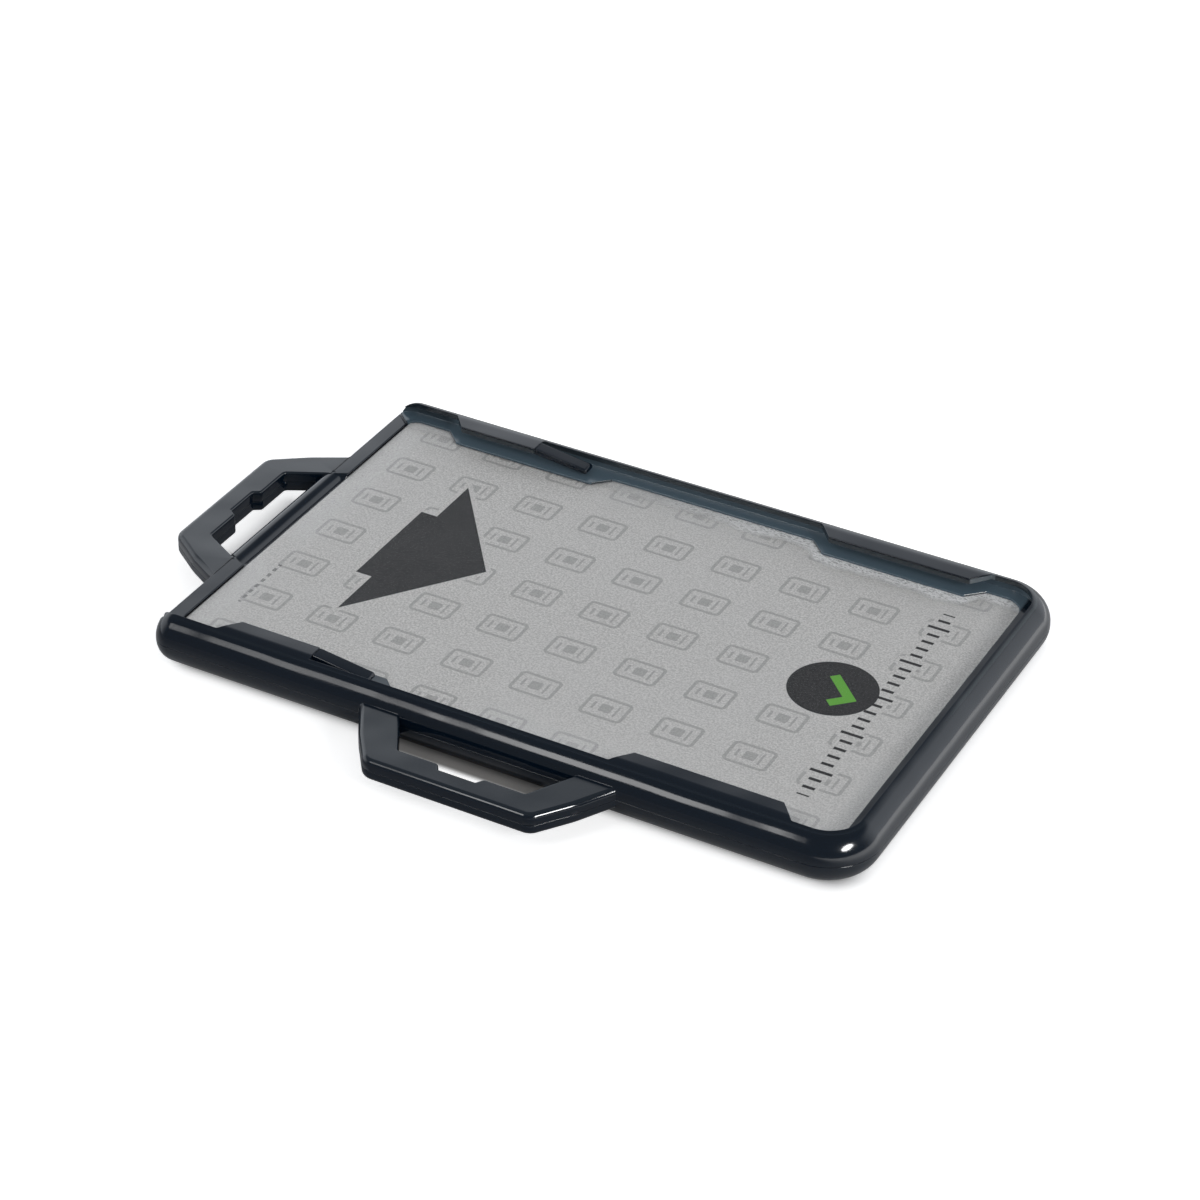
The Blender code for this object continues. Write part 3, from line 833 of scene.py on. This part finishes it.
def mask_tray(tree, box_mark, placed, x, y, z):
    """Masks of painted light inside the tray: on its thin side ledges, on the walls above them and under
    the lips.
    """
    wall, mouth = TRAY_HALF_WIDTH - 0.05, -46.0
    from_tray = box_outside(tree, box_mark, placed, ((mouth + TRAY_END) / 2, 0),
                            ((TRAY_END - mouth) / 2, wall), TRAY_CORNER_RADIUS)
    from_mouth = box_outside(tree, box_mark, placed, (mouth, 0), (5, wall), 0.1)
    in_tray = fade_mm(tree, sums(tree, "MINIMUM", from_tray, from_mouth), 0.2, 0.0)

    # Between the bar, with the slanted crease at its end, and the closed end's ledge
    from_crease = sums(tree, "MULTIPLY_ADD", x, 0.81, sums(tree, "ABSOLUTE", y))
    past_bar = sums(tree, "MAXIMUM", fade_mm(tree, x, WINDOW_START + 0.1, WINDOW_START + 0.55),
                    fade_mm(tree, from_crease, -9.6, -9.3))
    at_side = sums(tree, "MULTIPLY", past_bar, fade_mm(tree, x, WINDOW_END + 0.2, WINDOW_END - 0.4))
    on_far_side = fade_mm(tree, y, -5, 5)
    # Painted light on the thin side ledges, strong on the far side and faint on the near side
    ledge = product(tree, in_tray, at_side, from_floor(tree, on_far_side, 0.15),
                    fade_mm(tree, z, LEDGE_TOP + 0.2, LEDGE_TOP + 0.02))

    # Painted light on the walls above the ledge, less on the near side and at the noses, and none on the
    # tongues
    tongue_side = LIP_HALF_WIDTH + TONGUE_WIDTH
    tongue = product(tree, fade_mm(tree, x, OPEN_LIP[1], OPEN_LIP[1] + 0.05),
                     fade_mm(tree, x, TONGUE_END + 0.5, TONGUE_END + 0.1),
                     fade_mm(tree, sums(tree, "ABSOLUTE", y), tongue_side + 0.2, tongue_side + 0.05),
                     fade_mm(tree, z, TONGUE_TIP_BOTTOM - 0.15, TONGUE_TIP_BOTTOM - 0.05))
    past_nose = fade_mm(tree, x, OPEN_LIP[0] - 1.75, OPEN_LIP[0] - 0.05)
    above_ledge = fade_mm(tree, z, LEDGE_TOP + 0.1, LEDGE_TOP + 0.3)
    raised = product(tree, in_tray, sums(tree, "MAXIMUM", at_side, above_ledge),
                     from_floor(tree, past_nose, 0.4), from_floor(tree, on_far_side, 0.2),
                     sums(tree, "SUBTRACT", 1.0, tongue))
    walls = sums(tree, "MULTIPLY", raised, fade_mm(tree, z, HALF_THICKNESS - 0.15, HALF_THICKNESS - 0.3))
    # Painted light under the lips, where shade falls
    under = sums(tree, "MULTIPLY", raised, fade_mm(tree, z, LIP_BOTTOM + 0.15, LIP_BOTTOM - 0.05))
    return ledge, walls, under


def mask_pad_end_shadow(tree, box_mark, placed, z):
    """A painted shadow line along the upright, slanted ends of the pads under the lips."""
    outside = box_outside(tree, box_mark, vectors(tree, "ABSOLUTE", placed), (0, 25.18), (38, 0.9), 0.01)
    return sums(tree, "MULTIPLY", fade_mm(tree, outside, 0.08, 0.0),
                fade_mm(tree, z, LEDGE_TOP - 0.005, LEDGE_TOP - 0.03))


def mask_far_lip_end_highlight(tree, box_mark, placed, z):
    """A painted highlight on the slanted end of the far lip next to the closed end."""
    outside = box_outside(tree, box_mark, placed, (35.3, 26.3), (1.2, 1.3), 0.3)
    return product(tree, fade_mm(tree, outside, 0.1, -0.1),
                   fade_mm(tree, z, HALF_THICKNESS - 0.1, HALF_THICKNESS - 0.2),
                   fade_mm(tree, z, LIP_BOTTOM - 0.05, LIP_BOTTOM + 0.15))


def make_smoke_plastic(wear, box_mark):
    """Glossy smoke-tinted plastic, near black in the thick, with painted light in the tray: teal on the
    thin side ledges, on the walls and under the lips.
    """
    material, tree, shader, place = new_material("smoke_plastic")
    placed = about_centre(tree, place)
    x, y, level = split(tree, placed)
    z = sums(tree, "ABSOLUTE", level)
    from_frame = box_outside(tree, box_mark, placed, (0, 0), (HALF_LENGTH + 0.3, HALF_WIDTH + 0.3), 3)
    loops = sums(tree, "MULTIPLY", fade_mm(tree, from_frame, -0.8, 0.8), fade_mm(tree, z, 1.1, 1.3))
    ledge, walls, under = mask_tray(tree, box_mark, placed, x, y, z)
    tint_and_painted_light = blend_colour(tree, noise(tree, place, 40, 2), (0.002, 0.006, 0.014, 1), (0.003, 0.010, 0.020, 1))
    # Lighter, bluer loops, then painted light on the walls, under the lips and on the ledges, a painted
    # shadow line along the pad ends and a painted highlight on the far lip's end
    for mask, colour in (
        (loops, (0.013, 0.020, 0.029, 1)),
        (walls, (0.035, 0.046, 0.054, 1)),
        (under, (0.080, 0.110, 0.135, 1)),
        (ledge, (0.060, 0.090, 0.115, 1)),
        (mask_pad_end_shadow(tree, box_mark, placed, z), (0.002, 0.002, 0.003, 1)),
        (mask_far_lip_end_highlight(tree, box_mark, placed, z), (0.15, 0.18, 0.20, 1)),
    ):
        tint_and_painted_light = blend_colour(tree, mask, tint_and_painted_light, colour)
    link(tree, tint_and_painted_light, shader.inputs["Base Color"])

    # Painted glow under the lips, standing in for light that comes through the thin plastic
    painted_glow = blend_colour(tree, under, (0, 0, 0, 1), (0.50, 0.70, 0.85, 1))
    link(tree, painted_glow, shader.inputs["Emission Color"])
    shader.inputs["Emission Strength"].default_value = 0.035

    # Flow marks along the rails
    worn = place_group(tree, wear, Place=place, Texture_Scale=2600.0, Texture=1.2, Waviness=160.0,
                       Smudges=0.04, Scuffs=0.06)
    flow = noise(tree, vectors(tree, "MULTIPLY", place, (25, 2400, 2400)), 1, 2)
    on_rail = sums(tree, "MULTIPLY", fade_mm(tree, sums(tree, "ABSOLUTE", y), 27.3, 27.9),
                   fade_mm(tree, from_frame, 0.0, -0.25))
    height = sums(tree, "MULTIPLY_ADD", sums(tree, "MULTIPLY", flow, on_rail), 7.0, worn.outputs["Height"])
    link(tree, bump(tree, height), shader.inputs["Normal"])
    link(tree, sums(tree, "ADD", worn.outputs["Roughness"], 0.1), shader.inputs["Roughness"])
    shader.inputs["IOR"].default_value = 1.52
    return material


def make_printed_sheet(wear, sheet_print):
    """Silver sheet with a fine metallic speckle and grey print."""
    material, tree, shader, place = new_material("printed_sheet")
    speckle = noise(tree, place, 4200, 2, 0.6)
    cloud = noise(tree, place, 60, 3)
    glint = fade(tree, speckle, 0.3, 0.7)
    silver = blend_colour(tree, glint, (0.47, 0.46, 0.445, 1), (0.73, 0.715, 0.695, 1))
    clouded = sums(tree, "MULTIPLY", fade(tree, cloud, 0.3, 0.7), 0.25)
    silver = blend_colour(tree, clouded, silver, (0.63, 0.62, 0.61, 1))
    marks = place_group(tree, sheet_print, Place=place)
    paler = sums(tree, "MULTIPLY", marks.outputs["Pictograms"], 0.5)
    colour = blend_colour(tree, paler, silver, (0.25, 0.248, 0.245, 1))
    ink_glint = fade(tree, speckle, 0.35, 0.7)
    ink = blend_colour(tree, ink_glint, (0.010, 0.010, 0.011, 1), (0.032, 0.031, 0.033, 1))
    colour = blend_colour(tree, marks.outputs["Dark Marks"], colour, ink)
    colour = blend_colour(tree, marks.outputs["Green Marks"], colour, (0.13, 0.43, 0.04, 1))
    worn = place_group(tree, wear, Place=place, Texture_Scale=4000.0, Texture=0.7, Smudges=0.08, Scuffs=0.0)
    link(tree, colour, shader.inputs["Base Color"])
    link(tree, sums(tree, "ADD", worn.outputs["Roughness"], 0.45), shader.inputs["Roughness"])
    link(tree, bump(tree, worn.outputs["Height"]), shader.inputs["Normal"])
    shader.inputs["Specular IOR Level"].default_value = 0.1
    shader.inputs["Coat Weight"].default_value = 0.2
    shader.inputs["Coat Roughness"].default_value = 0.15
    return material


def crinkle_ridges(tree, place):
    """Fine ridges: 1 along their crests and 0 between them."""
    wave = noise(tree, vectors(tree, "MULTIPLY", place, (1100, 2400, 1)), 1, 4, 0.65)
    from_crest = sums(tree, "ABSOLUTE", sums(tree, "SUBTRACT", wave, 0.5))
    ridge = sums(tree, "SUBTRACT", 1.0, sums(tree, "MULTIPLY", from_crest, 8.0))
    return sums(tree, "MAXIMUM", ridge, 0.0)


def patches_and_painted_sheen(tree, place, x, y):
    """Whitish patches with painted sheen beside the ledge, mostly on the far side, and reaching further in
    past the closed pad.
    """
    on_far_side = from_floor(tree, fade_mm(tree, y, 0, 10), 0.1)
    past_tongue = from_floor(tree, fade_mm(tree, x, -16, 14), 0.2)
    at_pad = sums(tree, "MULTIPLY", fade_mm(tree, x, CLOSED_PAD[0], CLOSED_PAD[0] + PAD_CHAMFER),
                  fade_mm(tree, x, CLOSED_PAD[1], CLOSED_PAD[1] - PAD_CHAMFER))
    reach = noise(tree, vectors(tree, "MULTIPLY", place, (160, 1, 1)), 1, 2)
    inset = sums(tree, "MULTIPLY_ADD", at_pad, -2.1 * MM, 25.6 * MM)
    border = sums(tree, "MULTIPLY_ADD", reach, -3.0 * MM, inset)
    rim = fade(tree, sums(tree, "ABSOLUTE", y), border, sums(tree, "ADD", border, 1.1 * MM))
    patchy = fade(tree, noise(tree, place, 90, 2), 0.2, 0.42)
    return product(tree, patchy, rim, on_far_side, past_tongue)


def make_clear_film(wear):
    """Clear film, with a painted haze near its rim and painted sheen where it whitens and crinkles along
    the far ledge.
    """
    material, tree, shader, place = new_material("clear_film")
    x, y, _ = split(tree, about_centre(tree, place))
    near_rim = sums(tree, "MAXIMUM", fade_mm(tree, sums(tree, "ABSOLUTE", y), 19.0, 26.0),
                    fade_mm(tree, sums(tree, "ABSOLUTE", x), 36.5, 41.5))
    painted_haze = sums(tree, "MULTIPLY", fade(tree, noise(tree, place, 55, 2), 0.4, 0.6), near_rim)
    patch_and_sheen = patches_and_painted_sheen(tree, place, x, y)
    crinkle_and_sheen = sums(tree, "MULTIPLY", crinkle_ridges(tree, place), patch_and_sheen)
    worn = place_group(tree, wear, Place=place, Texture_Scale=900.0, Texture=2.0, Smudges=0.06, Scuffs=0.1)
    height = sums(tree, "MULTIPLY_ADD", crinkle_and_sheen, 20.0, worn.outputs["Height"])
    shader.inputs["Base Color"].default_value = (0.96, 0.96, 0.955, 1)
    # The white veil's alpha paints light: haze near the rim, sheen on the patches and highlights on the
    # crinkles
    painted_veil = sums(tree, "MULTIPLY_ADD", patch_and_sheen, 0.28, sums(tree, "MULTIPLY_ADD", painted_haze, 0.18, 0.01))
    link(tree, sums(tree, "MULTIPLY_ADD", crinkle_and_sheen, 0.65, painted_veil), shader.inputs["Alpha"])
    link(tree, sums(tree, "ADD", worn.outputs["Roughness"], 0.05), shader.inputs["Roughness"])
    link(tree, bump(tree, height), shader.inputs["Normal"])
    return material


def make_shield_foil(wear):
    material, tree, shader, place = new_material("shield_foil")
    rolled = noise(tree, vectors(tree, "MULTIPLY", place, (60, 2500, 1)), 1, 3)
    colour = blend_colour(tree, rolled, (0.52, 0.52, 0.53, 1), (0.68, 0.68, 0.69, 1))
    link(tree, colour, shader.inputs["Base Color"])
    worn = place_group(tree, wear, Place=place, Texture_Scale=1200.0, Smudges=0.1, Scuffs=0.1)
    link(tree, sums(tree, "ADD", worn.outputs["Roughness"], 0.3), shader.inputs["Roughness"])
    link(tree, bump(tree, worn.outputs["Height"]), shader.inputs["Normal"])
    shader.inputs["Metallic"].default_value = 1.0
    return material


def make_core_plate(wear):
    material, tree, shader, place = new_material("core_plate")
    grain = noise(tree, place, 1800, 3, 0.6)
    colour = blend_colour(tree, grain, (0.20, 0.21, 0.22, 1), (0.30, 0.31, 0.32, 1))
    link(tree, colour, shader.inputs["Base Color"])
    worn = place_group(tree, wear, Place=place, Texture_Scale=2000.0, Smudges=0.08, Scuffs=0.05)
    link(tree, sums(tree, "ADD", worn.outputs["Roughness"], 0.5), shader.inputs["Roughness"])
    link(tree, bump(tree, worn.outputs["Height"]), shader.inputs["Normal"])
    return material


def dress(piece, material):
    piece.data.materials.clear()
    piece.data.materials.append(material)


# Pieces in the place of their CAD nodes

shell_front = mould_shell("front_shell")
shell_back = mirrored_copy(shell_front, "back_shell", 2)
tongue_front_far = mould_tongue("front_far_spring_tongue")
tongues = {
    "front_far_tongue": tongue_front_far,
    "front_near_tongue": mirrored_copy(tongue_front_far, "front_near_spring_tongue", 1),
    "back_far_tongue": mirrored_copy(tongue_front_far, "back_far_spring_tongue", 2),
}
film_front = lay_film("front_film")
film_back = mirrored_copy(film_front, "back_film", 2)
tongues["back_near_tongue"] = mirrored_copy(tongues["front_near_tongue"], "back_near_spring_tongue", 2)

wear = make_handling_wear()
box_mark = make_box_mark()
smoke = make_smoke_plastic(wear, box_mark)
for face, shell in (("front", shell_front), ("back", shell_back)):
    soften_shading(shell)
    dress(shell, smoke)
    lips = [f"{face}_{flank}_{kind}_lip" for flank in ("near", "far") for kind in ("open", "closed")]
    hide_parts(face + "_frame", face + "_bezel", *lips)
    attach(shell, "holder")
for body, piece in tongues.items():
    soften_shading(piece)
    dress(piece, smoke)
    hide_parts(body)
    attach(piece, body)

clear_film = make_clear_film(wear)
for face, film in (("front", film_front), ("back", film_back)):
    soften_shading(film)
    dress(film, clear_film)
    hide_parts(face + "_clear_film")
    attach(film, "holder")

finishes = {
    "printed_sheet": make_printed_sheet(wear, make_sheet_print(box_mark)),
    "shield_foil": make_shield_foil(wear),
    "core_plate": make_core_plate(wear),
}
for name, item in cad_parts.items():
    for key, material in finishes.items():
        if name.endswith(key):
            dress(item, material)


# Table, light and camera

def shade_table(tree, box_mark, placed, y):
    """A painted shadow under the side loop's slot, and how much the table's glow fades under both slots
    together.
    """
    from_side_slot = box_outside(tree, box_mark, placed, (-3.1, -27), (10.5, 5), 1)
    from_top_slot = box_outside(tree, box_mark, placed, (-46.6, 0), (5.0, 10.0), 2)
    painted_slot_shadow = sums(tree, "MULTIPLY", fade_mm(tree, from_side_slot, 0.0, -1.5),
                     fade_mm(tree, y, -30.6, -29.5))
    top_slot = fade_mm(tree, from_top_slot, 0.0, -3.5)
    both = most(tree, sums(tree, "MULTIPLY", painted_slot_shadow, 0.9), sums(tree, "MULTIPLY", top_slot, 0.75))
    return painted_slot_shadow, both


def make_white_table(box_mark):
    """White, with a glow for the camera, and for reflections that look past the closed end. Painted shade
    darkens it in reflections on the near side, and a painted shadow lies under the side loop's slot.
    """
    material, tree, shader, place = new_material("white_table")
    placed = about_centre(tree, place)
    x, y, _ = split(tree, placed)
    painted_slot_shadow, shaded = shade_table(tree, box_mark, placed, y)
    path = node(tree, "ShaderNodeLightPath")
    from_frame = box_outside(tree, box_mark, placed, (0, 0), (HALF_LENGTH, HALF_WIDTH), 5)
    beside = sums(tree, "MULTIPLY", fade_mm(tree, from_frame, -3.5, 0), sums(tree, "SUBTRACT", 1.0, shaded))
    mirrored = sums(tree, "MULTIPLY", path.outputs["Is Glossy Ray"],
                    sums(tree, "MULTIPLY", fade_mm(tree, x, 44, 70), 2.2))
    seen = sums(tree, "MAXIMUM", path.outputs["Is Camera Ray"], mirrored)
    link(tree, product(tree, seen, beside, 0.70), shader.inputs["Emission Strength"])
    # Painted shade: to reflections the floor looks darker on the near side
    dim = sums(tree, "MULTIPLY", path.outputs["Is Glossy Ray"], fade_mm(tree, y, -25, -45))
    colour = blend_colour(tree, dim, (0.8, 0.8, 0.8, 1), (0.38, 0.38, 0.38, 1))
    # Painted shadow: the table is painted dark under the side loop's slot
    link(tree, blend_colour(tree, painted_slot_shadow, colour, (0.16, 0.15, 0.14, 1)), shader.inputs["Base Color"])
    shader.inputs["Roughness"].default_value = 0.8
    shader.inputs["Specular IOR Level"].default_value = 0.1
    shader.inputs["Emission Color"].default_value = (1, 1, 1, 1)
    return material


def make_table(box_mark):
    bpy.ops.object.select_all(action="DESELECT")
    bpy.ops.mesh.primitive_plane_add(size=6, location=(0, 0, 0))
    table = bpy.context.active_object
    table.name = "table"
    dress(table, make_white_table(box_mark))


def make_surround():
    """White walls behind the holder, with a dim ceiling and a dark room on the camera's side."""
    world = bpy.data.worlds.new("surround")
    bpy.context.scene.world = world
    world.use_nodes = True
    tree = world.node_tree
    x, y, z = split(tree, node(tree, "ShaderNodeTexCoord").outputs["Generated"])
    ahead, right = (-0.46, 0.887), (0.887, 0.46)
    low = fade(tree, z, math.sin(math.radians(45)), math.sin(math.radians(29)))
    behind = sums(tree, "MULTIPLY_ADD", y, ahead[1], sums(tree, "MULTIPLY", x, ahead[0]))
    side = sums(tree, "MULTIPLY_ADD", x, right[0], sums(tree, "MULTIPLY", y, right[1]))
    bright = sums(tree, "MULTIPLY_ADD", fade(tree, side, -0.09, 0.09), -0.54, 1.22)
    bright = sums(tree, "MULTIPLY_ADD", fade(tree, side, 0.3, 0.8), 0.35, bright)
    wall = sums(tree, "MULTIPLY", low, fade(tree, behind, -0.35, 0.3))
    background = tree.nodes["Background"]
    background.inputs["Color"].default_value = (0.95, 0.99, 1.04, 1)
    link(tree, sums(tree, "MULTIPLY_ADD", wall, bright, 0.2), background.inputs["Strength"])


def hang_softbox(name, toward, width, height, radiance, distance=1.2, shape="RECTANGLE"):
    """A lamp in a direction from the holder, facing it and level with its length."""
    facing = Vector(toward).normalized()
    along = (Vector((1, 0, 0)) - facing * facing.x).normalized()
    lamp = bpy.data.lights.new(name, "AREA")
    lamp.shape = shape
    lamp.size = width
    lamp.size_y = height
    lamp.energy = radiance * width * height * math.pi
    item = bpy.data.objects.new(name, lamp)
    turn = Matrix((along, facing.cross(along), facing)).transposed()
    item.matrix_world = Matrix.Translation(facing * distance) @ turn.to_4x4()
    bpy.context.scene.collection.objects.link(item)
    return item


def light_holder():
    """Two softboxes in front, one for the glint at the closed end, and two fills without reflections."""
    hang_softbox("left_box", toward=(-0.465, -0.542, 0.70), width=0.085, height=0.42, radiance=3.6)
    hang_softbox("front_box", toward=(-0.352, -0.62, 0.70), width=0.15, height=0.42, radiance=6.2)
    right_box = hang_softbox("right_box", toward=(0.8, -0.3, 0.52), width=0.3, height=0.5,
                             radiance=32.0, shape="ELLIPSE")
    right_box.visible_diffuse = False
    side_fill = hang_softbox("side_fill", toward=(0.8, -0.3, 0.52), width=0.3, height=0.3, radiance=14.0)
    side_fill.visible_glossy = False
    top_fill = hang_softbox("top_fill", toward=(0.1, 0.1, 1.0), width=1.2, height=1.2, radiance=0.37,
                            distance=1.5)
    top_fill.visible_glossy = False


def set_camera():
    """The photo's camera: its direction, roll, focal length in the photo's pixels, and place."""
    turn, tip, roll = math.radians(27.55), math.radians(33.89), math.radians(1.30)
    focal_pixels, photo_pixels, sensor_width = 3461.83, 1200, 36
    distance, aim = 401.331, Vector((3.115, 3.63875, 6.7))
    back = Vector((math.sin(turn) * math.cos(tip), -math.cos(turn) * math.cos(tip), math.sin(tip)))
    right = Vector((math.cos(turn), math.sin(turn), 0))
    up = back.cross(right)
    across = right * math.cos(roll) + up * math.sin(roll)
    over = up * math.cos(roll) - right * math.sin(roll)
    camera = bpy.data.cameras.new("camera")
    camera.sensor_width = sensor_width
    camera.lens = focal_pixels / photo_pixels * sensor_width
    camera.clip_start = 0.01
    item = bpy.data.objects.new("camera", camera)
    turned = Matrix((across, over, back)).transposed().to_4x4()
    item.matrix_world = Matrix.Translation((back * distance + aim) * MM) @ turned
    bpy.context.scene.collection.objects.link(item)
    bpy.context.scene.camera = item


make_table(box_mark)
make_surround()
light_holder()
set_camera()
bpy.context.scene.view_settings.view_transform = "Standard"
